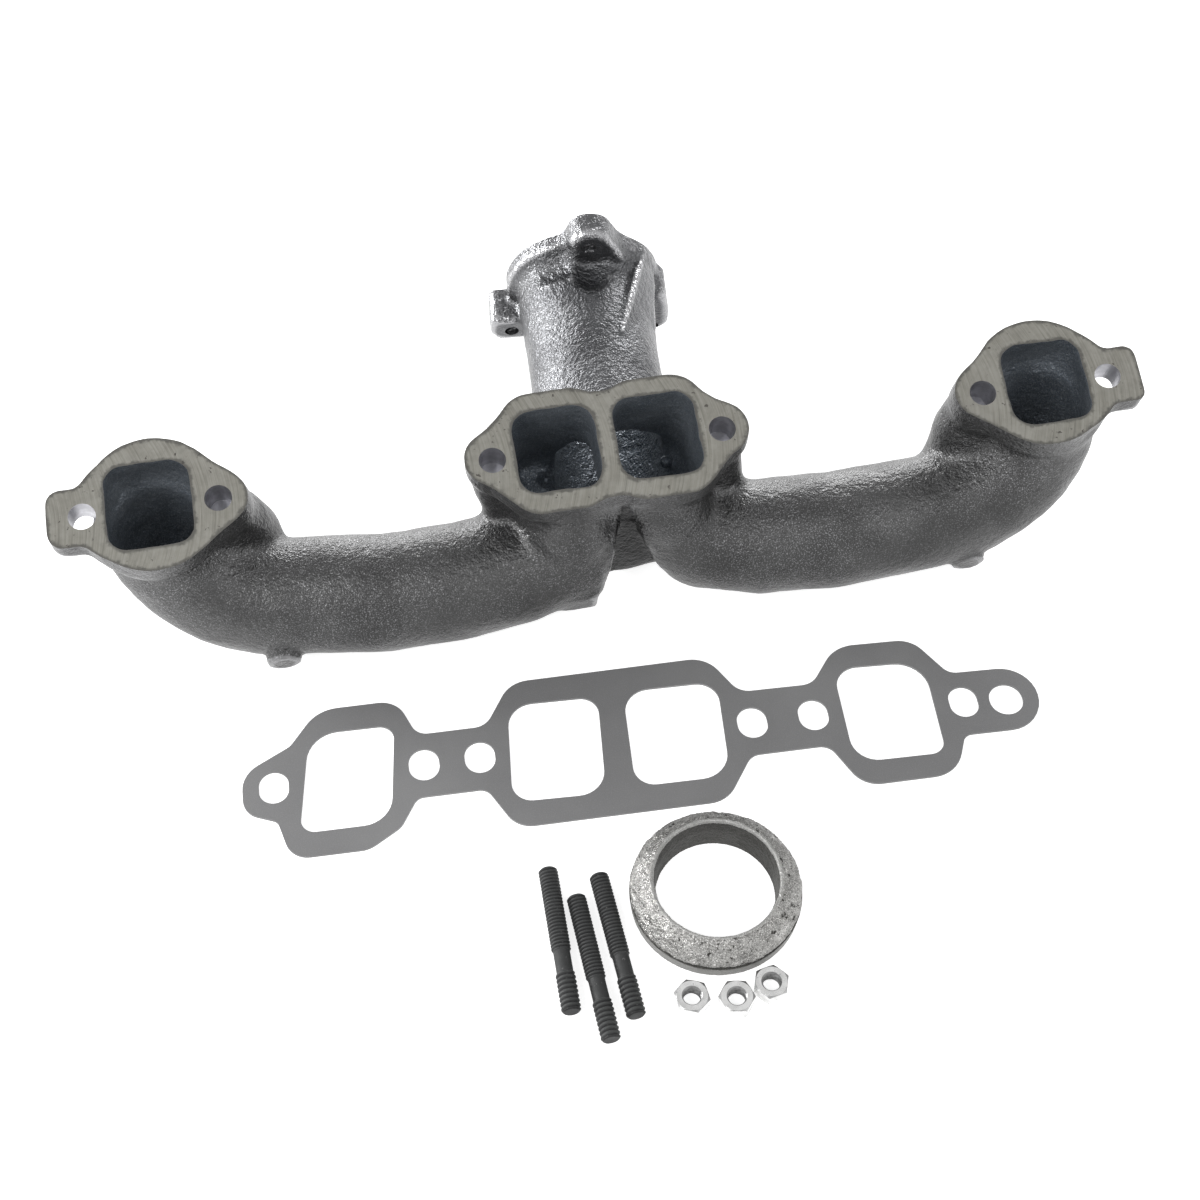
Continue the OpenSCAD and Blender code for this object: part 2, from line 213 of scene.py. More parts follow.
class Block:
    """A block of distances on a grid, to which iron is added and from which it is cut."""

    def __init__(self, low, high, step):
        far = 30.0  # the distance that an empty block holds everywhere
        self.step = step
        self.low = np.array(low, float)
        self.axes = [np.arange(a, b, step, dtype=np.float32) for a, b in zip(low, high)]
        self.value = np.full([len(a) for a in self.axes], far, np.float32)

    def window(self, low, high):
        """The part of the block round a shape's box, and its coordinates."""
        margin = 12
        pick = tuple(slice(int(np.searchsorted(a, lo - margin)), int(np.searchsorted(a, hi + margin)))
                     for a, lo, hi in zip(self.axes, low, high))
        grids = np.meshgrid(*[a[p] for a, p in zip(self.axes, pick)], indexing="ij", sparse=True)
        return pick, grids

    def add(self, distance, low, high, fillet):
        pick, grids = self.window(low, high)
        self.value[pick] = smooth_min(self.value[pick], distance(*grids), fillet)

    def cut(self, distance, low, high, fillet):
        pick, grids = self.window(low, high)
        self.value[pick] = smooth_max(self.value[pick], -distance(*grids), fillet)

    def at(self, points, field=None):
        """The value at each of the points, from the eight grid points round it."""
        field = self.value if field is None else field
        place = np.clip((points - self.low) / self.step, 0, np.array(field.shape) - 1.001)
        corner = place.astype(int)
        share = place - corner
        total = np.zeros(len(points))
        for shift in itertools.product((0, 1), repeat=3):
            weight = np.abs(1 - np.array(shift) - share).prod(axis=1)
            total += weight * field[tuple((corner + shift).T)]
        return total


def ripple(block, pitch, seed):
    """Smooth random unevenness over a block, from -1 to 1, with about that pitch in mm."""
    noise = np.random.default_rng(seed)
    shape = [int(len(a) * block.step / pitch) + 3 for a in block.axes]
    field = noise.uniform(-1, 1, shape).astype(np.float32)
    for axis, positions in enumerate(block.axes):
        at = (positions - positions[0]) / pitch
        cell = at.astype(int)
        t = (at - cell).astype(np.float32)
        t = t * t * (3 - 2 * t)
        t = t.reshape([-1 if k == axis else 1 for k in range(3)])
        field = np.take(field, cell, axis) * (1 - t) + np.take(field, cell + 1, axis) * t
    return field


# ---- the casting, in its own axes: x along the ports, y in the plane of the port
# ---- faces towards the outlet, z out of the port faces

# Ports and their flanges
END_PORT_X = 190.9
CENTRE_PORT_X = 21.5
PORT_RISE = 1.2
PORT_W = 35
PORT_H = 37.4
PORT_CORNER = 8
INNER_BOLT_X = 162.6
OUTER_BOLT_X = 218
CENTRE_BOLT_X = 48.9
BOLT_XS = (-OUTER_BOLT_X, -INNER_BOLT_X, -CENTRE_BOLT_X, CENTRE_BOLT_X, INNER_BOLT_X, OUTER_BOLT_X)
BOLT_HOLE_R = 5.7
DRILL_DEPTH = 16
FLANGE_T = 12

# Arms, collector and passages
ARM_R = 25.4
ARM_CORE_R = 19.6
ARM_DEPTH = 56.5
ARM_DROP = 30
COLLECTOR = (6, -5, -ARM_DEPTH)
COLLECTOR_R = 30
LEAST_WALL = 3.2

# Neck and outlet
NECK_R = 30.6
OUTLET_BORE_R = 25
RIM_R = 36.4
STRAIGHT = 22
TAPPED_R = 3.4
STUD_CIRCLE_R = 39.5

# What is left on each face for the mill, and how flat and square a milled face comes out
SPARE = 5
MILLED_WITHIN = 0.01
MILLED_FACING = 0.98

face_mount = mounts["centre_head_bolts"]
face_centre = Vector(face_mount["pos_m"])
face_normal = Vector(face_mount["axis"]).normalized()
along_row = Vector((1, 0, 0))
up_face = face_normal.cross(along_row)
to_world = Matrix((along_row * MM, up_face * MM, face_normal * MM)).transposed().to_4x4()
to_world.translation = face_centre
to_local = to_world.inverted()

outlet_mount = mounts["outlet_studs"]
outlet_c = np.array(to_local @ Vector(outlet_mount["pos_m"]))
outlet_z = (to_local.to_3x3() @ Vector(outlet_mount["axis"])).normalized()
outlet_x = outlet_z.cross(Vector((0, 0, 1))).normalized()
outlet_y = outlet_z.cross(outlet_x)
outlet_axes = [np.array(a) for a in (outlet_x, outlet_y, outlet_z)]
bend_c = outlet_c - STRAIGHT * outlet_axes[2]


def bezier(a, b, c, d, s):
    """The point at share s of a curve from a to d, pulled towards b and c."""
    a, b, c, d = [np.array(p, float) for p in (a, b, c, d)]
    return a * (1 - s) ** 3 + b * 3 * s * (1 - s) ** 2 + c * 3 * s * s * (1 - s) + d * s ** 3


def elbow_path(side, start):
    """From behind an end port down and round into its arm; side is -1 left or 1 right."""
    a = np.array((side * END_PORT_X, PORT_RISE, start))
    d = np.array((side * 133, -ARM_DROP + (3 if side < 0 else 0.2), -ARM_DEPTH))
    sag = np.array((-1, -7, -37) if side < 0 else (9, -15, -34))
    pull = np.array((side * 37, 0, 0))
    steps = 10
    return [bezier(a, a + sag, d + pull, d, i / steps) for i in range(steps + 1)]


def run_path(side):
    """The straight run of an arm, from its elbow towards the collector."""
    drops = (-1, -0.4, 2.8) if side < 0 else (-1.5, 0.4, 5)
    return [(side * x, -ARM_DROP + drop, -ARM_DEPTH) for x, drop in zip((100, 66, 42), drops)]


def arm(side):
    port_end_r = 24.4
    start = [(side * END_PORT_X, PORT_RISE, -5)]
    elbow = elbow_path(side, -12)
    grow = [port_end_r + (ARM_R - port_end_r) * i / (len(elbow) - 1) for i in range(len(elbow))]
    if side < 0:
        tail = [(-24, -ARM_DROP + 5.4, -ARM_DEPTH), (-8.6, -ARM_DROP + 7, -ARM_DEPTH)]
        radii = [port_end_r, *grow, ARM_R + 0.2, ARM_R + 0.2, ARM_R, ARM_R - 1.8, ARM_R - 4]
        return bar(start + elbow + run_path(side) + tail, radii, 1.6)
    tail = [(30, -ARM_DROP + 10, -ARM_DEPTH), (20, -ARM_DROP + 16, -ARM_DEPTH)]
    radii = [port_end_r, *grow, ARM_R + 0.2, ARM_R + 0.2, ARM_R - 1.4, ARM_R - 5, ARM_R - 9]
    return bar(start + elbow + run_path(side) + tail, radii, 4)


def arm_core(side):
    port_end_r = 18
    elbow = elbow_path(side, -15)
    grow = [port_end_r + (ARM_CORE_R - port_end_r) * i / (len(elbow) - 1) for i in range(len(elbow))]
    tail = [(side * 22, -ARM_DROP + 15, -ARM_DEPTH), COLLECTOR]
    radii = [*grow, ARM_CORE_R, ARM_CORE_R, ARM_CORE_R - 1.6, 14, 16]
    return bar(elbow + run_path(side) + tail, radii)


def bolt_leg(x, lean_x, lean_y, radii):
    """The thickening that runs from a bolt hole's ear down into the arm."""
    path = [(x, 1, -6), (x, 1 + lean_y * 0.1, -20),
            (x + lean_x * 0.5, 1 + lean_y * 0.4, -34), (x + lean_x, lean_y, -50)]
    return bar(path, radii)


def port_outline(x):
    return rounded_box(x - PORT_W / 2, PORT_RISE - PORT_H / 2, x + PORT_W / 2,
                       PORT_RISE + PORT_H / 2, [PORT_CORNER] * 4)


def add_end_flange(iron, side):
    """The flange of an end port, with its inner bolt boss and its squared outer ear."""
    low = (-235 if side < 0 else 148, -30, -FLANGE_T)
    high = (-148 if side < 0 else 235, 34, SPARE)
    ring = wrap([(INNER_BOLT_X, 0, 11.4), (189, 1.5, 29.1)])
    ear_radii = [3, 6.5, 6, 3] if side < 0 else [3, 4, 5, 3]
    ear = rounded_box(200, -13, 232.5, 12.8, ear_radii)
    shoulders = wrap([(202.5, -3, 18), (203, 3, 18.6)])
    for outline in (ring, shoulders, ear):
        iron.add(plate(mirrored(outline, side), -FLANGE_T, SPARE, 2.5), low, high, 2.5)


def add_centre_flange(iron):
    """The flange that the two centre ports share, waisted between its bolts and its ports."""
    low = (-62, -30, -FLANGE_T)
    high = (62, 32, SPARE)
    for side in (-1, 1):
        shapes = [wrap([(14, -13, 13.8), (30.6, -13.2, 13.6), (29.8, 14.2, 13.8), (14, 14.4, 13.8)]),
                  wrap([(28.4, -0.8, 24), (43, 0.4, 14.4), (28.4, 0.6, 23.8)]),
                  wrap([(40, 0, 13.4), (CENTRE_BOLT_X - 0.4, 0.6, 12)])]
        for outline in shapes:
            iron.add(plate(mirrored(outline, side), -FLANGE_T, SPARE, 2.5), low, high, 2)
    iron.add(plate(rounded_box(-24, -23.6, 24, 24.8, [2] * 4), -FLANGE_T, SPARE, 2.5), low, high, 2)


def outlet_hollows():
    """The room for a spanner behind the top boss, and the hollow beside it under the rim."""
    drill_room = bar([(2, -38.8, -20.4), (2, -38.8, -12.4)], [11.4, 11], 1)
    scoop = bar([(-14.4, -36, -15.6), (-22, -30, -15.6)], [9.8, 8.2])
    return placed(drill_room, outlet_c, outlet_axes), placed(scoop, outlet_c, outlet_axes)


def add_outlet(iron):
    """The outlet's bend, its flange and the three stud bosses."""
    reach = 52
    low = outlet_c - np.array((reach, 50, reach))
    high = outlet_c + np.array((reach, 18, reach))
    profile = [(0, -STRAIGHT), (NECK_R, -STRAIGHT), (NECK_R, -14), (NECK_R + 1.4, -9.6),
               (NECK_R + 3.4, -7.4), (RIM_R - 0.4, -6.6), (RIM_R, -6), (RIM_R, SPARE), (0, SPARE)]
    boss = wrap([(-6.4, -20, 8), (14.4, -20, 8), (2, -40.2, 9.8)])
    square_ear = wrap([(-42.2, 12.4, 2.6), (-20, 12.4, 3), (-20, 20.4, 6), (-37.6, 18.6, 7.6)])
    round_ear = wrap([(20, 16, 8), (22, 0, 6), (33.2, 1, 6.6), (33, 16.8, 9)])
    rib = [(29.2, -23.2, -1), (12.4, -37.6, -57), (35.6, -8, -1), (30.6, -10, -50),
           (10, -10, -1), (8, -8, -57)]
    for shape, fillet in ((turned_profile(profile), 3),
                          (plate(boss, -13, SPARE, 3), 3.5),
                          (plate(square_ear, -18, SPARE, 1.2), 2),
                          (plate(round_ear, -18, SPARE, 4), 3),
                          (facets(rib, 0.6), 1.2)):
        iron.add(placed(shape, outlet_c, outlet_axes), low, high, fillet)
    drill_room, scoop = outlet_hollows()
    iron.cut(drill_room, low, high, 1.6)
    iron.cut(scoop, low, high, 1.2)


def recess(side):
    """The three-cornered hollow under the centre ports: its crisp left or soft right half."""
    if side < 0:
        foot = (-4.8, 10)
        front = (-9.5, 10)
    else:
        foot = (2, 22.7)
        front = (2, 28.8)
    return facets([(4.2, -21.5, -17), (foot[0], -30, -76), (foot[1], -30, -76),
                   (4.6, -48, -14), (front[0], -61, -76), (front[1], -61, -76)], 0.4)


def rough_casting(low, high, step):
    """All the iron before it is cored; each add and cut names its shape, its box and its fillet."""
    iron = Block(low, high, step)
    for side in (-1, 1):
        left = side < 0
        add_end_flange(iron, side)
        xs = sorted((side * 2, side * 226))
        iron.add(arm(side), (xs[0], -62, -88), (xs[1], 32, 2), 7)
        foot = (5, 2) if left else (-2, -8)
        radii = [11.4, 13.6, 15.6, 17] if left else [11.4, 13.2, 15, 16]
        x = side * (INNER_BOLT_X + 0.6)
        iron.add(bolt_leg(x, *foot, radii), (x - 26, -26, -70), (x + 26, 24, 6), 6)
        x = side * (CENTRE_BOLT_X - (1.6 if left else 0.4))
        iron.add(bolt_leg(x, 8 if left else 1, -9, [10.4, 10.6, 11.6, 12.6]),
                 (x - 24, -26, -66), (x + 24, 24, 6), 5)
    add_centre_flange(iron)
    # The body under the centre ports, and the web between the arms
    body = rounded_box(-43, -23, 43, 26, [14, 14, 16, 16])
    iron.add(plate(body, -ARM_DEPTH - 9, -FLANGE_T + 4, 4), (-44, -24, -67), (44, 27, -8), 4)
    web = rounded_box(-14, -32, 31, 0, [9, 5, 6, 6])
    iron.add(plate(web, -ARM_DEPTH - 14, -ARM_DEPTH + 15, 2), (-15, -33, -72), (32, 1, -40), 3)
    rising_left = bar([(-19, -10, -14), (-19, -20, -34), (-20, -24, -54)], [16, 19.5, 21.6])
    iron.add(rising_left, (-42, -48, -78), (4, 16, 4), 5)
    rising_right = bar([(21, -9, -14), (26, -17, -36), (32, -20, -54)], [16, 18.4, 20.4])
    iron.add(rising_right, (2, -44, -76), (54, 16, 4), 5)
    # The collector, the neck, and the recess in front of them
    iron.add(sphere(COLLECTOR, COLLECTOR_R), (-25, -36, -88), (37, 26, -26), 8)
    iron.add(bar([COLLECTOR, bend_c], [NECK_R, NECK_R]), (-28, -36, -122), (46, 140, -24), 8)
    iron.cut(recess(1), (-12, -60, -78), (30, -16, -4), 5)
    iron.cut(recess(-1), (-12, -60, -78), (30, -16, -4), 0.4)
    add_outlet(iron)
    # A locating pad on each arm and the lug beside the recess
    for x, y, r in ((-148, -54.8, 7.4), (157.4, -54.6, 7.2)):
        pad = bar([(x, y + 14, -ARM_DEPTH - 6), (x, y, -ARM_DEPTH - 6)], [r, r], 0.7)
        iron.add(pad, (x - 9, y - 2, -ARM_DEPTH - 16), (x + 9, y + 16, -ARM_DEPTH + 4), 1.4)
    lug = facets([(-25.4, -48.4, -54), (-9.6, -48.4, -54), (-25.4, -48.4, -69), (-9.6, -48.4, -69),
                  (-27, -32, -46), (-4.2, -32, -46), (-27, -32, -69), (-4.2, -32, -69)], 0.5)
    iron.add(lug, (-28, -50, -70), (-3, -31, -45), 1.2)
    return iron


def passage_cores(low, high, step, iron):
    """The gas passages, held a wall's thickness inside the iron."""
    cores = Block(low, high, step)
    for side in (-1, 1):
        x = side * END_PORT_X
        cores.add(plate(port_outline(x), -18, 30, 6), (x - 18, -18, -19), (x + 18, 21, 16), 0)
        xs = sorted((side * 2, side * 214))
        cores.add(arm_core(side), (xs[0], -54, -80), (xs[1], 20, 2), 7)
        x = side * CENTRE_PORT_X
        cores.add(plate(port_outline(x), -ARM_DEPTH, 30, 9), (x - 18, -18, -57),
                  (x + 18, 21, 16), 5)
    cores.add(sphere(COLLECTOR, COLLECTOR_R - 5.6), (-20, -30, -82), (32, 20, -31), 7)
    bore = [COLLECTOR, bend_c, outlet_c + 20 * outlet_axes[2]]
    cores.add(bar(bore, [OUTLET_BORE_R] * 3), (-22, -30, -120), (46, 150, -30), 7)
    # Where the centre flange meets the body their distances overlap and would read as a thin wall
    behind_flange = np.clip((iron.axes[2] + 20) / 4, 0, 1)
    middle = (np.abs(iron.axes[0]) < 46)[:, None, None]
    cores.value = smooth_max(cores.value, iron.value + LEAST_WALL - 20 * middle * behind_flange, 2)
    # Core marks on the floor of the centre ports
    for x, y in ((-23.4, 10.4), (31, 11.6)):
        nub = sphere((x, y, -ARM_DEPTH + 0.4), 3)
        cores.cut(nub, (x - 4, y - 4, -62), (x + 4, y + 4, -50), 1)
    return cores


# ---- meshes ----

def mesh_object(name, points, faces):
    mesh = bpy.data.meshes.new(name)
    mesh.from_pydata([tuple(p) for p in points], [], [tuple(f) for f in faces])
    mesh.update()
    made = bpy.data.objects.new(name, mesh)
    scene.collection.objects.link(made)
    return made


def apply_modifiers(made):
    """Turns an object with live modifiers into a plain mesh."""
    bpy.context.view_layer.update()
    ready = made.evaluated_get(bpy.context.evaluated_depsgraph_get())
    mesh = bpy.data.meshes.new_from_object(ready)
    made.modifiers.clear()
    made.data = mesh


def outward_faces(mesh):
    work = bmesh.new()
    work.from_mesh(mesh)
    bmesh.ops.recalc_face_normals(work, faces=work.faces)
    work.to_mesh(mesh)
    work.free()


def read_off(items, field):
    """The three numbers that a field holds for each vertex or face of a mesh."""
    values = np.zeros(len(items) * 3)
    items.foreach_get(field, values)
    return values.reshape(-1, 3)


def add_mask(mesh, name, values):
    """A number on each point of a mesh, for its material to read."""
    mask = mesh.attributes.new(name, "FLOAT", "POINT")
    mask.data.foreach_set("value", values.astype(np.float32))


def round_point(centre, radius, angle, z):
    """A point round an upright axis, its radius in mm and its height in metres."""
    return (centre.x + radius * MM * math.cos(angle), centre.y + radius * MM * math.sin(angle), z)


def closed_grid(rings, around):
    """The faces between rings of points, where the last ring and point meet the first."""
    faces = []
    for j in range(rings):
        m = (j + 1) % rings
        for i in range(around):
            k = (i + 1) % around
            faces.append((j * around + i, j * around + k, m * around + k, m * around + i))
    return faces


def poured_mesh(iron, cores, step):
    """The skin of the iron round its cores, with the waviness of a sand casting."""
    waves = ripple(iron, 17, 3) * 0.35 + ripple(iron, 7, 5) * 0.14
    sand = ripple(iron, 3.4, 9) * 0.15
    skin = iron.value + waves + sand
    hollow = cores.value + ripple(iron, 5.2, 12) * 0.4 + ripple(iron, 2.4, 15) * 0.22
    solid = smooth_max(skin, -hollow, 1.2)
    band = 8.0
    grid = openvdb.FloatGrid(band)
    grid.copyFromArray(np.clip(solid, -band, band).astype(np.float32))
    grid.transform = openvdb.createLinearTransform(voxelSize=step)
    points, triangles, quads = grid.convertToPolygons(0.0, 0.0)
    points = points.astype(float) + iron.low
    faces = [tuple(int(i) for i in f) for f in list(triangles) + list(quads)]
    return points, faces


def drill_bit(radius, low, high, sides):
    bit = bmesh.new()
    bmesh.ops.create_cone(bit, cap_ends=True, segments=sides, radius1=radius, radius2=radius,
                          depth=high - low)
    bmesh.ops.translate(bit, verts=bit.verts, vec=(0, 0, (low + high) / 2))
    return bit


def face_cutter(half_width, half_height):
    """A block that stands on the plane z = 0, where it leaves a milled face."""
    tall = 30
    block = bmesh.new()
    bmesh.ops.create_cube(block, size=1)
    for v in block.verts:
        v.co = Vector((half_width if v.co.x > 0 else -half_width,
                       half_height if v.co.y > 0 else -half_height, tall if v.co.z > 0 else 0))
    return block


def mill(target, shape, place):
    """Takes a cutter's shape away from the casting."""
    mesh = bpy.data.meshes.new("cutter")
    shape.to_mesh(mesh)
    shape.free()
    cutter = bpy.data.objects.new("cutter", mesh)
    cutter.matrix_world = place
    scene.collection.objects.link(cutter)
    step = target.modifiers.new("mill", "BOOLEAN")
    step.operation = "DIFFERENCE"
    step.solver = "MANIFOLD"
    step.object = cutter
    apply_modifiers(target)
    bpy.data.objects.remove(cutter)


def outlet_frame():
    """Places what is drawn about the origin on the outlet face, z out of it."""
    turn = Matrix([list(a) for a in outlet_axes]).transposed().to_4x4()
    turn.translation = Vector(outlet_c)
    return turn


IRON, MILLED, SOOT, DRILLED = range(4)


def make_casting(materials):
    """Pours the casting, then mills its faces and drills it."""
    step = 1.8
    block = ((-244, -70, -146), (244, 150, 16), step)
    iron = rough_casting(*block)
    cores = passage_cores(*block, iron)
    points, faces = poured_mesh(iron, cores, step)
    casting = mesh_object("casting_skin", points, faces)

    mill(casting, face_cutter(260, 60), Matrix.Identity(4))
    mill(casting, face_cutter(60, 60), outlet_frame())
    for x in BOLT_XS:
        mill(casting, drill_bit(BOLT_HOLE_R, -DRILL_DEPTH, SPARE, 40), Matrix.Translation((x, 0, 0)))
    for angle in (88.4, 208.4, 328.4):
        a = math.radians(angle)
        spot = Matrix.Translation((STUD_CIRCLE_R * math.cos(a), -STUD_CIRCLE_R * math.sin(a), 0))
        mill(casting, drill_bit(TAPPED_R, -30, SPARE, 28), outlet_frame() @ spot)

    score_face(casting, Matrix.Identity(4), (236, 34), 2.2)
    score_face(casting, outlet_frame(), (48, 52), 3.0)

    casting.data.materials.clear()
    for name in ("iron", "milled", "soot", "drilled"):
        casting.data.materials.append(materials[name])
    mark_surfaces(casting, iron)
    paint_masks(casting, iron, cores)
    casting.data.transform(to_world)
    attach(casting, "casting")
    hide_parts("manifold_casting")


def score_face(casting, place, reaches, pitch):
    """Cuts a milled face into small squares, so that a mask can change across it."""
    work = bmesh.new()
    work.from_mesh(casting.data)
    back = place.inverted()
    out = place.to_3x3() @ Vector((0, 0, 1))
    flat = [f for f in work.faces
            if f.normal.dot(out) > MILLED_FACING
            and abs((back @ f.calc_center_median()).z) < MILLED_WITHIN]
    geometry = list({v for f in flat for v in f.verts}) + list({e for f in flat for e in f.edges}) + flat
    offset = 0.37  # of a square, which keeps every cut off the holes' own centre lines
    for axis, reach in enumerate(reaches):
        way = Vector((0, 0, 0))
        way[axis] = 1
        for step in range(int(-reach / pitch), int(reach / pitch) + 1):
            at = place @ ((step + offset) * pitch * way)
            cut = bmesh.ops.bisect_plane(work, geom=geometry, dist=1e-4, plane_co=at,
                                         plane_no=place.to_3x3() @ way)
            geometry = cut["geom"]
    work.to_mesh(casting.data)
    work.free()


def bending(field, step):
    """How sharply a surface turns: above 0 on an outer edge, below 0 in a corner."""
    reach = 2
    total = -6 * field
    for axis in range(3):
        total += np.roll(field, reach, axis) + np.roll(field, -reach, axis)
    return total / (reach * step) ** 2


def paint_masks(casting, iron, cores):
    """Point masks: edges of the cast skin, rims of milled faces, and painted shade on the walls of the
    recess.
    """
    points = read_off(casting.data.vertices, "co")
    edges = iron.at(points, bending(iron.value, iron.step))
    inside_by = 1.2
    edges[iron.at(points) < -inside_by] = 0
    rims = np.minimum(-iron.at(points), cores.at(points))
    x, y, z = points.T
    off_wall = np.minimum(np.abs(recess(-1)(x, y, z)), np.abs(recess(1)(x, y, z)))
    # Painted shade: strongest on the recess walls, weaker towards the recess's foot, and only at its
    # front
    shade = np.clip(1.6 - off_wall, 0, 1) * np.clip((z + 120) / 60, 0, 1) * (y < -15)
    add_mask(casting.data, "edges", edges)
    add_mask(casting.data, "rims", rims)
    add_mask(casting.data, "shade", shade)


def mark_surfaces(casting, iron):
    """Gives each face its finish: cast, milled, drilled, or sooty inside the passages."""
    mesh = casting.data
    centres = read_off(mesh.polygons, "center")
    normals = read_off(mesh.polygons, "normal")
    inside_by = 1.6
    finish = np.where(iron.at(centres) < -inside_by, SOOT, IRON)
    across, along, outlet_height = ((centres - outlet_c) @ np.array(outlet_axes).T).T
    milled = (np.abs(centres[:, 2]) < MILLED_WITHIN) & (normals[:, 2] > MILLED_FACING)
    milled |= (np.abs(outlet_height) < MILLED_WITHIN) & (normals @ outlet_axes[2] > MILLED_FACING)
    finish[milled] = MILLED
    for x in BOLT_XS:
        near = np.hypot(centres[:, 0] - x, centres[:, 1]) < BOLT_HOLE_R + 0.05
        finish[near & (centres[:, 2] > -DRILL_DEPTH - 0.1) & ~milled] = DRILLED
    tapped = (np.abs(np.hypot(across, along) - STUD_CIRCLE_R) < TAPPED_R + 1) & ~milled
    finish[tapped & (np.abs(outlet_height + 10) < 20)] = IRON
    mesh.polygons.foreach_set("material_index", finish.astype(np.int32))
    mesh.polygons.foreach_set("use_smooth", np.ones(len(finish), bool))
    mesh.set_sharp_from_angle(angle=math.radians(50))
    mesh.update()


# ---- ring gasket ----

def ring_profile(bore, outer, tall):
    """The ring's section from the foot of its bore, out and round: (radius, height, finish)."""
    wall, band, slope, lip = range(4)
    return [(bore, 0.8, band), (bore + 0.8, 0, band), (outer - 1.4, 0, band), (outer - 0.6, 1, band),
            # The groove below the slope takes the darker wall finish as painted shade
            (outer - 0.1, tall - 11, wall), (outer - 1.3, tall - 10.6, wall),
            (outer - 1.3, tall - 10.1, wall), (outer - 0.1, tall - 9.7, slope),
            (outer - 0.3, tall - 8.6, slope), (outer - 1.9, tall - 6.2, slope),
            (outer - 4.3, tall - 3, slope), (outer - 6.6, tall - 0.9, slope),
            (bore + 2.6, tall - 0.1, lip), (bore + 1.9, tall, lip), (bore + 1.2, tall - 0.3, lip),
            (bore + 0.8, tall - 1.4, wall), (bore, tall - 6, wall)]


def make_ring_gasket(materials):
    """Turns the section about its axis, dented as pressed wire mesh is."""
    low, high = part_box("outlet_ring_gasket")
    centre = (low + high) / 2
    profile = ring_profile(mounts["ring_gasket_bore"]["dims"]["r_mm"], (high.x - low.x) / 2 / MM,
                           high.z / MM)
    around = 440
    spacing = 0.5
    path = []
    finish = []
    for (r0, z0, part), (r1, z1, _) in zip(profile, profile[1:] + profile[:1]):
        count = max(1, round(math.hypot(r1 - r0, z1 - z0) / spacing))
        path += [(r0 + (r1 - r0) * i / count, z0 + (z1 - z0) * i / count) for i in range(count)]
        finish += [part] * count
    path = np.array(path)
    rows = len(path)
    ahead = np.roll(path, -1, 0) - np.roll(path, 1, 0)
    out = np.stack([ahead[:, 1], -ahead[:, 0]], 1)
    out /= np.linalg.norm(out, axis=1, keepdims=True)
    noise = np.random.default_rng(21)
    dents = noise.uniform(-1, 1, (around, rows))
    lumps = np.repeat(noise.uniform(-1, 1, (around // 4, rows)), 4, 0)
    for _ in range(3):
        lumps = (2 * lumps + np.roll(lumps, 1, 0) + np.roll(lumps, -1, 0)
                 + np.roll(lumps, 1, 1) + np.roll(lumps, -1, 1)) / 6
    # How deep the dents and the lumps are on the wall, the band, the slope and the lip
    depth = np.array([(0.12, 0.16), (0.05, 0.06), (0.16, 0.46), (0.08, 0.24)])[finish]
    rough = depth[:, 0] * dents + depth[:, 1] * lumps - depth.sum(axis=1) * 0.6
    points = []
    for i in range(around):
        angle = 2 * math.pi * i / around
        for r, z in path + out * rough[i][:, None]:
            points.append(round_point(centre, r, angle, max(z, 0) * MM))
    faces = [(a, d, c, b) for a, b, c, d in closed_grid(around, rows)]
    ring = mesh_object("ring_gasket_mesh", points, faces)
    for name in ("ring wall", "ring band", "ring slope", "ring lip"):
        ring.data.materials.append(materials[name])
    for number, face in enumerate(ring.data.polygons):
        face.use_smooth = True
        face.material_index = finish[number % rows]
    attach(ring, "outlet_ring_gasket_loose")
    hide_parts("outlet_ring_gasket")


# ---- node wiring ----

class Signal:
    """A node's output that takes plain arithmetic, each step of which is one Math node."""

    def __init__(self, tree, socket):
        self.tree = tree
        self.socket = socket

    def __add__(self, other):
        return maths("ADD", self, other)

    def __sub__(self, other):
        return maths("SUBTRACT", self, other)

    def __rsub__(self, other):
        return maths("SUBTRACT", other, self)

    def __mul__(self, other):
        return maths("MULTIPLY", self, other)

    def __truediv__(self, other):
        return maths("DIVIDE", self, other)

    def at_least(self, other):
        return maths("MAXIMUM", self, other)

    def at_most(self, other):
        return maths("MINIMUM", self, other)


def signals(tree, node):
    return {socket.name: Signal(tree, socket) for socket in node.outputs}


def feed(tree, value, socket):
    """Links a signal or a node's output to a socket, or sets a plain value on it."""
    if isinstance(value, Signal):
        value = value.socket
    if isinstance(value, bpy.types.NodeSocket):
        tree.links.new(value, socket)
    else:
        socket.default_value = value


def add_node(tree, kind, inputs=(), **settings):
    """A new node, its settings made first and its inputs then linked or set."""
    node = tree.nodes.new(kind)
    for name, value in settings.items():
        setattr(node, name, value)
    for label, value in dict(inputs).items():
        feed(tree, value, node.inputs[label])
    return node


def maths(operation, *values):
    tree = next(value.tree for value in values if isinstance(value, Signal))
    node = add_node(tree, "ShaderNodeMath", enumerate(values), operation=operation)
    return Signal(tree, node.outputs[0])


def spread(value, low, high, to_low=0.0, to_high=1.0):
    """The value eased from one range into another."""
    node = add_node(value.tree, "ShaderNodeMapRange",
                    {"Value": value, "From Min": low, "From Max": high,
                     "To Min": to_low, "To Max": to_high}, interpolation_type="SMOOTHSTEP")
    return Signal(value.tree, node.outputs[0])


def between(share, at_none, at_full):
    return spread(share, 0.0, 1.0, at_none, at_full)


# ---- studs: a tree that wraps a flat grid into a threaded rod ----

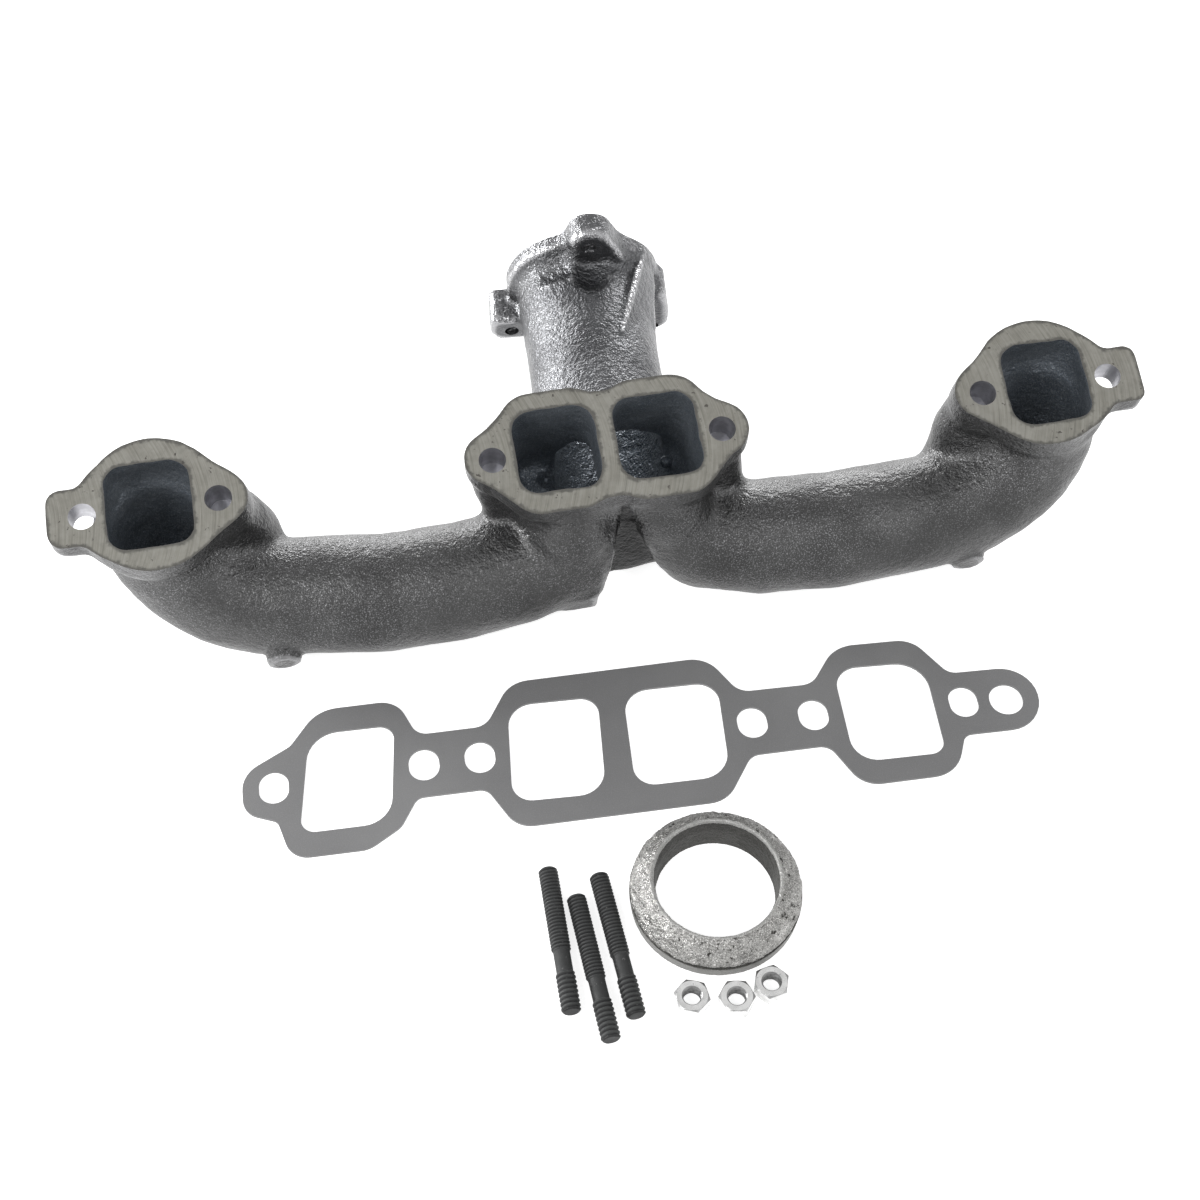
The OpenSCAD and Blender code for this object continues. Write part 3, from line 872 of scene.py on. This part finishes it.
def thread_tree(material):
    """Named sizes in metres; the grid's x runs along the rod and its y round it."""
    tree = bpy.data.node_groups.new("threaded_rod", "GeometryNodeTree")
    face = tree.interface
    face.new_socket("Geometry", in_out="OUTPUT", socket_type="NodeSocketGeometry")
    for name in ("Length", "Radius", "Depth", "Chamfer", "Long thread end", "Short thread start",
                 "Long pitch", "Short pitch", "Shank radius"):
        face.new_socket(name, in_out="INPUT", socket_type="NodeSocketFloat")
    for name in ("Rows", "Around"):
        face.new_socket(name, in_out="INPUT", socket_type="NodeSocketInt")
    size = signals(tree, tree.nodes.new("NodeGroupInput"))
    grid = add_node(tree, "GeometryNodeMeshGrid", {"Size X": 1, "Size Y": 1, "Vertices X": size["Rows"],
                                                   "Vertices Y": size["Around"]})
    place = tree.nodes.new("GeometryNodeInputPosition")
    flat = signals(tree, add_node(tree, "ShaderNodeSeparateXYZ", {0: place.outputs[0]}))
    share = flat["X"] + 0.5
    turn = flat["Y"] + 0.5

    # A few rows at each end stay at the end's height and close it
    end_share = 0.04
    body = ((share - end_share) / (1 - 2 * end_share)).at_least(0.0).at_most(1.0)
    height = body * size["Length"]
    cap = (share.at_most(1.0 - share) / end_share).at_most(1.0)

    def thread(pitch):
        wave = maths("PINGPONG", height / size[pitch] - turn, 0.5)
        return (1.0 - (wave * 2.5).at_most(1.0)) * size["Depth"]

    run_out = 0.0012
    past_long = spread(height, size["Long thread end"], size["Long thread end"] + run_out)
    past_shank = spread(height, size["Short thread start"] - run_out, size["Short thread start"])
    cut = thread("Long pitch") * (1.0 - past_long) + thread("Short pitch") * past_shank
    shank = past_long * (1.0 - past_shank)
    cut = cut + shank * (size["Radius"] - size["Shank radius"])
    from_end = height.at_most(size["Length"] - height)
    chamfer = (size["Chamfer"] - from_end).at_least(0.0)
    radius = (size["Radius"] - cut.at_least(chamfer)) * cap
    angle = turn * (2 * math.pi)

    wrapped = add_node(tree, "ShaderNodeCombineXYZ", {"X": radius * maths("COSINE", angle),
                                                      "Y": radius * maths("SINE", angle), "Z": height})
    move = add_node(tree, "GeometryNodeSetPosition", {"Geometry": grid.outputs["Mesh"],
                                                      "Position": wrapped.outputs[0]})
    merge = add_node(tree, "GeometryNodeMergeByDistance", {"Geometry": move.outputs[0],
                                                           "Distance": 1e-6})
    smooth = add_node(tree, "GeometryNodeSetShadeSmooth", {"Geometry": merge.outputs[0]})
    real = add_node(tree, "GeometryNodeRealizeInstances", {0: smooth.outputs[0]})
    paint = add_node(tree, "GeometryNodeSetMaterial", {"Geometry": real.outputs[0],
                                                       "Material": material})
    add_node(tree, "NodeGroupOutput", {0: paint.outputs[0]})
    return tree


def make_studs(materials):
    tree = thread_tree(materials["black"])
    sockets = {item.name: item.identifier for item in tree.interface.items_tree
               if item.item_type == "SOCKET" and item.in_out == "INPUT"}
    for number in (1, 2, 3):
        long_mount = mounts[f"stud_{number}_long_thread"]
        short_mount = mounts[f"stud_{number}_short_thread"]
        way = Vector(long_mount["axis"]).normalized()
        radius = long_mount["dims"]["r_mm"] * MM
        chamfer = 0.9 * MM
        tip, far = [Vector(mount["pos_m"]) + sign * way * (mount["dims"]["length_mm"] / 2 * MM + chamfer)
                    for mount, sign in ((long_mount, 1), (short_mount, -1))]
        length = (tip - far).length
        rod = mesh_object(f"stud_{number}_rod", [], [])
        step = rod.modifiers.new("thread", "NODES")
        step.node_group = tree
        sizes = {"Length": length, "Radius": radius, "Depth": 0.62 * MM, "Chamfer": chamfer,
                 "Long thread end": 0.585 * length - 0.8 * MM,
                 "Short thread start": 0.735 * length + 0.8 * MM,
                 "Long pitch": 1.5 * MM, "Short pitch": 2.0 * MM, "Shank radius": radius - 0.6 * MM,
                 "Rows": 560, "Around": 57}
        for name, value in sizes.items():
            step[sockets[name]] = value
        apply_modifiers(rod)
        turn = (-way).to_track_quat("Z", "X").to_matrix().to_4x4()
        mark_crests(rod.data, sizes)
        rod.data.transform(Matrix.Translation(tip) @ turn)
        outward_faces(rod.data)
        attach(rod, f"stud_{number}_loose")
        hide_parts(f"stud_{number}")


def mark_crests(mesh, sizes):
    """A point mask that is 1 on the crests of a thread, 0 in its roots and even on the shank."""
    points = read_off(mesh.vertices, "co")
    rise = np.hypot(points[:, 0], points[:, 1]) - sizes["Radius"] + sizes["Depth"]
    crest = np.clip(rise / sizes["Depth"], 0, 1)
    along = np.abs(points[:, 2])
    shank = (along > sizes["Long thread end"]) & (along < sizes["Short thread start"])
    ends = (along < 1e-4) | (along > sizes["Length"] - 1e-4)
    even = 0.62
    crest[shank | ends] = even
    add_mask(mesh, "crest", crest)


# ---- nuts ----

BORE_ROWS = 34


def nut_rings(around, flats, tall, bore):
    """Rings of points, each (radius, height): from the bore's foot, up it and down the outside."""
    pitch = 1.25
    depth = 0.45
    lead_in = 0.7
    rim = 0.12
    crown = flats / 2 - 0.25
    rings = []
    for row in range(BORE_ROWS + 1):
        z = tall * row / BORE_ROWS
        edge = max(lead_in - z, z - tall + lead_in, 0)
        ring = []
        for i in range(around):
            wave = abs(((z / pitch - i / around) % 1.0) - 0.5) * 2
            ring.append((max(bore + depth * min(1.25 * wave, 1.0), bore + edge), z))
        rings.append(ring)

    outside = [flats / 2 / math.cos(math.radians((360 * i / around + 30) % 60 - 30))
               for i in range(around)]
    hexagon = [(r, (r - crown) * math.tan(math.radians(30))) for r in outside]

    def end_ring(share, z):
        return [(bore + lead_in + (crown - bore - lead_in) * share, z)] * around

    rings += [end_ring(share, tall) for share in (0.35, 0.7, 1.0)]
    rings.append([(r - rim, tall - fall * 0.8) for r, fall in hexagon])
    rings.append([(r, tall - fall - rim) for r, fall in hexagon])
    for share in (0.75, 0.5, 0.25):
        rings.append([(r, fall + rim + (tall - 2 * fall - 2 * rim) * share) for r, fall in hexagon])
    rings.append([(r, fall + rim) for r, fall in hexagon])
    rings.append([(r - rim, fall * 0.8) for r, fall in hexagon])
    rings += [end_ring(share, 0) for share in (1.0, 0.7, 0.35)]
    return rings


def make_nuts(materials):
    flats = 13.0
    turns = {1: 8, 2: 20, 3: 41}
    around = 144
    in_thread = set(range(BORE_ROWS)) | {BORE_ROWS + 3}
    for number in (1, 2, 3):
        low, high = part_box(f"nut_{number}")
        mount = mounts[f"nut_{number}_thread"]
        centre = Vector(mount["pos_m"])
        rings = nut_rings(around, flats, (high.z - low.z) / MM, mount["dims"]["r_mm"])
        points = []
        for ring in rings:
            for i, (r, z) in enumerate(ring):
                angle = math.radians(360 * i / around + turns[number])
                points.append(round_point(centre, r, angle, low.z + z * MM))
        nut = mesh_object(f"nut_{number}_hex", points, closed_grid(len(rings), around))
        outward_faces(nut.data)
        for finish in ("zinc", "zinc thread"):
            nut.data.materials.append(materials[finish])
        for face in nut.data.polygons:
            face.use_smooth = True
            lowest = min(v // around for v in face.vertices)
            # Faces in the bore's thread and on the top chamfer take the darker plate, painted shade
            face.material_index = int(lowest in in_thread)
        nut.data.set_sharp_from_angle(angle=math.radians(24))
        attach(nut, f"nut_{number}_loose")
        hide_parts(f"nut_{number}")


# ---- shader groups ----

def object_place(tree, stretch=(1, 1, 1)):
    place = tree.nodes.new("ShaderNodeTexCoord")
    mapping = add_node(tree, "ShaderNodeMapping", {"Vector": place.outputs["Object"], "Scale": stretch})
    return Signal(tree, mapping.outputs[0])


def place_parts(tree):
    return signals(tree, add_node(tree, "ShaderNodeSeparateXYZ", {0: object_place(tree)}))


def mask_of(tree, name):
    node = add_node(tree, "ShaderNodeAttribute", attribute_name=name)
    return Signal(tree, node.outputs["Fac"])


def noise_of(place, scale, detail, rough, seed):
    node = add_node(place.tree, "ShaderNodeTexNoise",
                    {"Vector": place, "W": seed, "Scale": scale, "Detail": detail,
                     "Roughness": rough}, noise_dimensions="4D")
    return Signal(place.tree, node.outputs["Fac"])


def colour_mix(share, first, second):
    tree = share.tree
    node = add_node(tree, "ShaderNodeMix", {"Factor": share}, data_type="RGBA")
    for label, value in (("A", first), ("B", second)):
        socket = next(s for s in node.inputs if s.name == label and s.type == "RGBA")
        feed(tree, value if isinstance(value, Signal) else (*value, 1), socket)
    return Signal(tree, next(s for s in node.outputs if s.type == "RGBA"))


def new_group(name, inputs, outputs):
    """An empty shader group, and the signals of its named inputs."""
    group = bpy.data.node_groups.new(name, "ShaderNodeTree")
    for label, value in inputs.items():
        socket = group.interface.new_socket(label, in_out="INPUT", socket_type="NodeSocketFloat")
        socket.default_value = value
    for label in outputs:
        group.interface.new_socket(label, in_out="OUTPUT", socket_type="NodeSocketFloat")
    return group, signals(group, group.nodes.new("NodeGroupInput"))


def sand_group():
    """The grain that sand leaves on iron: height, bright specks and slow patches."""
    group, given = new_group("sand_grain", {"Grain scale": 900.0, "Seed": 0.0},
                             ("Height", "Specks", "Patches"))
    place = object_place(group)
    scale = given["Grain scale"]
    seed = given["Seed"]
    fine = noise_of(place, scale, 1.0, 0.5, seed)
    coarse = noise_of(place, scale * 0.36, 1.0, 0.5, seed)
    specks = noise_of(place, scale * 1.6, 1.0, 0.5, seed + 4.0)
    patches = noise_of(place, scale * 0.035, 3.0, 0.5, seed + 8.0)
    add_node(group, "NodeGroupOutput", {"Height": fine * 0.5 + coarse * 0.8,
                                        "Specks": spread(specks, 0.50, 0.74),
                                        "Patches": spread(patches, 0.35, 0.65)})
    return group


def smudge_group():
    """Handling marks: wide smears and small pits."""
    group, given = new_group("smudges", {"Scale": 60.0, "Pit scale": 420.0, "Seed": 0.0},
                             ("Smears", "Pits"))
    place = object_place(group)
    smears = noise_of(place, given["Scale"], 4.0, 0.6, given["Seed"])
    pits = noise_of(place, given["Pit scale"], 2.0, 0.5, given["Seed"] + 3.0)
    add_node(group, "NodeGroupOutput", {"Smears": spread(smears, 0.4, 0.68),
                                        "Pits": spread(pits, 0.66, 0.72)})
    return group


def use(tree, group, **values):
    """A group placed in a material, with its own values for the group's inputs."""
    inputs = {label.replace("_", " "): value for label, value in values.items()}
    return signals(tree, add_node(tree, "ShaderNodeGroup", inputs, node_tree=group))


# ---- materials ----

def new_material(name, metallic, roughness):
    material = bpy.data.materials.new(name)
    material.use_nodes = True
    shader = material.node_tree.nodes["Principled BSDF"]
    shader.inputs["Metallic"].default_value = metallic
    shader.inputs["Roughness"].default_value = roughness
    return material, material.node_tree


def finish_with(material, colour, roughness=None, height=None, relief=0.0):
    """Feeds a shader its colour, and where given its roughness and a relief in metres."""
    tree = material.node_tree
    inputs = tree.nodes["Principled BSDF"].inputs
    feed(tree, colour, inputs["Base Color"])
    if roughness is not None:
        feed(tree, roughness, inputs["Roughness"])
    if height is not None:
        bump = add_node(tree, "ShaderNodeBump", {"Height": height, "Distance": relief})
        feed(tree, bump.outputs[0], inputs["Normal"])
    return material


def iron_material(sand):
    """Grey on the arms, lighter and coarser on the neck, with painted light on the outlet rim, painted
    glints, painted shade in the recess, and edges worn bright with a painted highlight.
    """
    material, tree = new_material("sand cast iron", 0.88, 0.38)
    grain = use(tree, sand, Grain_scale=1150.0, Seed=1.0)
    bold = use(tree, sand, Grain_scale=980.0, Seed=31.0)
    back = place_parts(tree)["Y"]
    neck = spread(back, 0.055, 0.10)
    rim = spread(back, 0.158, 0.172)
    edge_wear_and_highlight = spread(mask_of(tree, "edges"), 0.09, 0.30)
    arm_tone = colour_mix(grain["Patches"], (0.060, 0.060, 0.060), (0.080, 0.080, 0.080))
    neck_tone = colour_mix(bold["Patches"], (0.066, 0.067, 0.071), (0.100, 0.102, 0.107))
    tone = colour_mix(neck, arm_tone, neck_tone)
    # Painted glints: bright specks mixed into the colour
    glint = grain["Specks"] * between(bold["Patches"], 0.3, 0.75)
    tone = colour_mix(glint, tone, (0.30, 0.30, 0.31))
    # Painted light: the outlet rim and its bosses made lighter to stand in for a lamp's reflection
    tone = colour_mix(rim * 0.4, tone, (0.175, 0.176, 0.18))
    # Painted shade: near black on the walls of the recess under the centre ports
    tone = colour_mix(mask_of(tree, "shade"), tone, (0.010, 0.010, 0.010))
    # Edges brightened, most on the neck: partly wear, partly a painted highlight
    tone = colour_mix(edge_wear_and_highlight * between(neck, 0.4, 0.8), tone, (0.42, 0.42, 0.43))
    dull = between(grain["Patches"], 0.42, 0.35) - neck * 0.08 - edge_wear_and_highlight * 0.08
    rise = grain["Height"] * 0.9 + bold["Height"] * (neck * 0.75 + 0.2)
    return finish_with(material, tone, dull, rise, 0.0009)


def soot_material(sand):
    material, tree = new_material("sooty port wall", 0.45, 0.4)
    grain = use(tree, sand, Grain_scale=1000.0, Seed=5.0)
    tone = colour_mix(grain["Patches"], (0.125, 0.145, 0.170), (0.200, 0.222, 0.250))
    # Painted glints: bright specks mixed into the colour
    tone = colour_mix(grain["Specks"] * 0.6, tone, (0.55, 0.58, 0.61))
    return finish_with(material, tone, between(grain["Specks"], 0.46, 0.24), grain["Height"], 0.0009)


def milled_material(smudges):
    """Arcs of a face cutter, worn spots, small pits and a dark broken rim."""
    material, tree = new_material("milled iron", 0.35, 0.42)
    cutter_r = 0.062
    row_y = 0.0347
    place = place_parts(tree)
    across = place["Y"] - row_y
    chord = maths("SQRT", cutter_r ** 2 - maths("POWER", across, 2.0))
    arcs = add_node(tree, "ShaderNodeCombineXYZ", {"X": place["X"] - chord, "Y": across * 0.03})
    cut = noise_of(Signal(tree, arcs.outputs[0]), 900.0, 4.0, 0.7, 2.0)
    marks = use(tree, smudges, Scale=70.0, Pit_scale=430.0, Seed=2.0)
    fine = use(tree, smudges, Scale=340.0, Pit_scale=1500.0, Seed=23.0)
    tone = colour_mix(marks["Smears"], (0.236, 0.229, 0.199), (0.292, 0.285, 0.254))
    tone = colour_mix(spread(cut, 0.38, 0.66, 0.0, 0.55), tone, (0.385, 0.377, 0.342))
    tone = colour_mix(spread(cut, 0.44, 0.34, 0.0, 0.45), tone, (0.130, 0.126, 0.112))
    tone = colour_mix(fine["Smears"] * 0.22, tone, (0.15, 0.146, 0.13))
    tone = colour_mix(marks["Pits"], tone, (0.100, 0.094, 0.082))
    broken = mask_of(tree, "rims") + fine["Smears"] * -0.9
    tone = colour_mix(spread(broken, 1.5, 0.1, 0.0, 0.75), tone, (0.075, 0.073, 0.067))
    return finish_with(material, tone, between(marks["Smears"], 0.52, 0.42),
                       cut * 0.4 - marks["Pits"], 0.00014)


def drilled_material(smudges):
    material, tree = new_material("drilled iron", 0.8, 0.38)
    turned = noise_of(object_place(tree, (0.1, 0.1, 1.0)), 1800.0, 2.0, 0.5, 6.0)
    marks = use(tree, smudges, Scale=120.0, Pit_scale=500.0, Seed=6.0)
    tone = colour_mix(marks["Smears"], (0.36, 0.36, 0.385), (0.54, 0.54, 0.57))
    return finish_with(material, tone, height=turned, relief=0.0001)


def gasket_material(smudges):
    material, tree = new_material("grey gasket facing", 0.45, 0.5)
    marks = use(tree, smudges, Scale=9.0, Pit_scale=900.0, Seed=9.0)
    fibre = noise_of(object_place(tree), 2600.0, 2.0, 0.6, 1.0)
    tone = colour_mix(marks["Smears"], (0.215, 0.215, 0.218), (0.262, 0.262, 0.265))
    tone = colour_mix(spread(fibre, 0.45, 0.7, 0.0, 0.4), tone, (0.33, 0.33, 0.33))
    return finish_with(material, tone, between(marks["Smears"], 0.58, 0.46), fibre, 0.00006)


def ring_slope_material(sand, smudges):
    """Pressed wire mesh and graphite, rubbed bright where it is handled."""
    material, tree = new_material("rubbed wire mesh", 0.9, 0.3)
    grain = use(tree, sand, Grain_scale=1500.0, Seed=14.0)
    marks = use(tree, smudges, Scale=150.0, Pit_scale=430.0, Seed=11.0)
    wires = noise_of(object_place(tree), 1300.0, 2.0, 0.6, 41.0)
    holes = spread(noise_of(object_place(tree), 300.0, 3.0, 0.6, 43.0), 0.60, 0.66)
    tone = colour_mix(marks["Smears"], (0.25, 0.247, 0.238), (0.40, 0.396, 0.384))
    tone = colour_mix(grain["Specks"], tone, (0.80, 0.79, 0.77))
    tone = colour_mix(spread(wires, 0.46, 0.34, 0.0, 0.8), tone, (0.085, 0.083, 0.078))
    tone = colour_mix(marks["Pits"].at_least(holes), tone, (0.045, 0.043, 0.040))
    return finish_with(material, tone, between(marks["Smears"], 0.42, 0.24),
                       grain["Height"] * 0.5 + wires, 0.0006)


def ring_plain_material(name, sand, dark, light, roughness, relief):
    """The same mesh where nothing rubs it: an even speckle."""
    material, tree = new_material(name, 0.6, roughness)
    grain = use(tree, sand, Grain_scale=1700.0, Seed=18.0)
    tone = colour_mix(grain["Specks"], dark, light)
    return finish_with(material, tone, between(grain["Patches"], roughness + 0.06, roughness - 0.06),
                       grain["Height"], relief)


def black_material(smudges):
    """Black oxide, greyer on the crests of the threads, with painted shade darkening their roots."""
    material, tree = new_material("black oxide steel", 0.35, 0.55)
    marks = use(tree, smudges, Scale=150.0, Pit_scale=900.0, Seed=17.0)
    # Painted shade: the thread roots darker than the crests
    painted_root_shade = colour_mix(marks["Smears"], (0.012, 0.012, 0.013), (0.020, 0.020, 0.021))
    tone = colour_mix(mask_of(tree, "crest"), painted_root_shade, (0.058, 0.060, 0.060))
    tone = colour_mix(marks["Pits"], tone, (0.11, 0.11, 0.11))
    grain = noise_of(object_place(tree), 1800.0, 3.0, 0.6, 7.0)
    return finish_with(material, tone, between(marks["Smears"], 0.72, 0.6), grain, 0.0001)


def zinc_material(smudges):
    material, tree = new_material("bright zinc plate", 0.9, 0.28)
    marks = use(tree, smudges, Scale=180.0, Pit_scale=700.0, Seed=19.0)
    tone = colour_mix(marks["Smears"], (0.82, 0.82, 0.815), (0.62, 0.62, 0.615))
    tone = colour_mix(marks["Pits"], tone, (0.45, 0.45, 0.46))
    grain = noise_of(object_place(tree), 1200.0, 3.0, 0.6, 9.0)
    return finish_with(material, tone, between(marks["Smears"], 0.22, 0.36), grain, 0.00005)


def zinc_thread_material(smudges):
    """Plate in the thread and on the chamfers, painted darker there as shade."""
    material, tree = new_material("zinc plate in a thread", 0.85, 0.34)
    marks = use(tree, smudges, Scale=240.0, Pit_scale=800.0, Seed=23.0)
    tone = colour_mix(marks["Smears"], (0.30, 0.30, 0.30), (0.42, 0.42, 0.42))
    return finish_with(material, tone)


def make_materials():
    sand = sand_group()
    smudges = smudge_group()
    made = {"iron": iron_material(sand), "soot": soot_material(sand),
            "milled": milled_material(smudges), "drilled": drilled_material(smudges),
            "gasket": gasket_material(smudges), "ring slope": ring_slope_material(sand, smudges),
            "black": black_material(smudges), "zinc": zinc_material(smudges),
            "zinc thread": zinc_thread_material(smudges)}
    # The darker wall finish is also painted shade where it lines the ring's groove
    for finish, name, dark, light, roughness, relief in (
            ("band", "even wire mesh", (0.20, 0.199, 0.19), (0.34, 0.338, 0.325), 0.48, 0.0003),
            ("lip", "rubbed bright mesh", (0.33, 0.328, 0.318), (0.66, 0.655, 0.64), 0.34, 0.0006),
            ("wall", "dull wire mesh", (0.060, 0.059, 0.055), (0.130, 0.128, 0.120), 0.6, 0.0007)):
        made["ring " + finish] = ring_plain_material(name, sand, dark, light, roughness, relief)
    return made


# ---- stage and light ----

def backdrop_rays(tree):
    """1 for the rays that see a plain white backdrop: direct, in gloss and through glass."""
    rays = signals(tree, tree.nodes.new("ShaderNodeLightPath"))
    direct = rays["Is Camera Ray"].at_least(rays["Is Glossy Ray"])
    return direct.at_least(rays["Is Transmission Ray"])


def set_stage():
    reach = 4.0
    floor = mesh_object("floor", [(-reach, -reach, 0), (reach, -reach, 0), (reach, reach, 0),
                                  (-reach, reach, 0)], [(0, 1, 2, 3)])
    material = bpy.data.materials.new("white floor")
    material.use_nodes = True
    tree = material.node_tree
    tree.nodes.clear()
    paint = add_node(tree, "ShaderNodeBsdfDiffuse", {"Color": (0.85, 0.85, 0.85, 1)})
    glow = add_node(tree, "ShaderNodeEmission", {"Strength": 0.74})
    both = add_node(tree, "ShaderNodeAddShader", {0: paint.outputs[0], 1: glow.outputs[0]})
    pick = add_node(tree, "ShaderNodeMixShader", {0: backdrop_rays(tree), 1: paint.outputs[0],
                                                  2: both.outputs[0]})
    add_node(tree, "ShaderNodeOutputMaterial", {0: pick.outputs[0]})
    floor.data.materials.append(material)


def add_lamp(name, place, aim, width, height, power):
    data = bpy.data.lights.new(name, "AREA")
    data.shape = "RECTANGLE"
    data.size = width
    data.size_y = height
    data.energy = power
    lamp = bpy.data.objects.new(name, data)
    lamp.location = place
    lamp.rotation_euler = (Vector(aim) - Vector(place)).to_track_quat("-Z", "Y").to_euler()
    scene.collection.objects.link(lamp)


def set_light():
    world = bpy.data.worlds.new("studio")
    scene.world = world
    world.use_nodes = True
    tree = world.node_tree
    tree.nodes.clear()
    glow = add_node(tree, "ShaderNodeBackground", {"Strength": between(backdrop_rays(tree), 0.55, 1.0)})
    add_node(tree, "ShaderNodeOutputWorld", {0: glow.outputs[0]})
    centre = (0, 0, 0.05)
    add_lamp("key", (-1.1, -0.7, 1.3), centre, 1.0, 1.0, 14)
    add_lamp("fill", (0.9, -0.9, 1.2), centre, 1.2, 1.2, 6)
    add_lamp("back strip", (0.1, 1.25, 0.26), centre, 2.0, 0.28, 22)
    add_lamp("left strip", (-1.2, 0.7, 0.24), centre, 0.8, 0.2, 23)


def dress_gasket(materials):
    gasket = frame["nodes"]["port_gasket"]
    gasket.data.materials.clear()
    gasket.data.materials.append(materials["gasket"])


set_camera()
set_stage()
set_light()
materials = make_materials()
make_casting(materials)
make_ring_gasket(materials)
make_studs(materials)
make_nuts(materials)
dress_gasket(materials)
scene.view_settings.view_transform = "Standard"
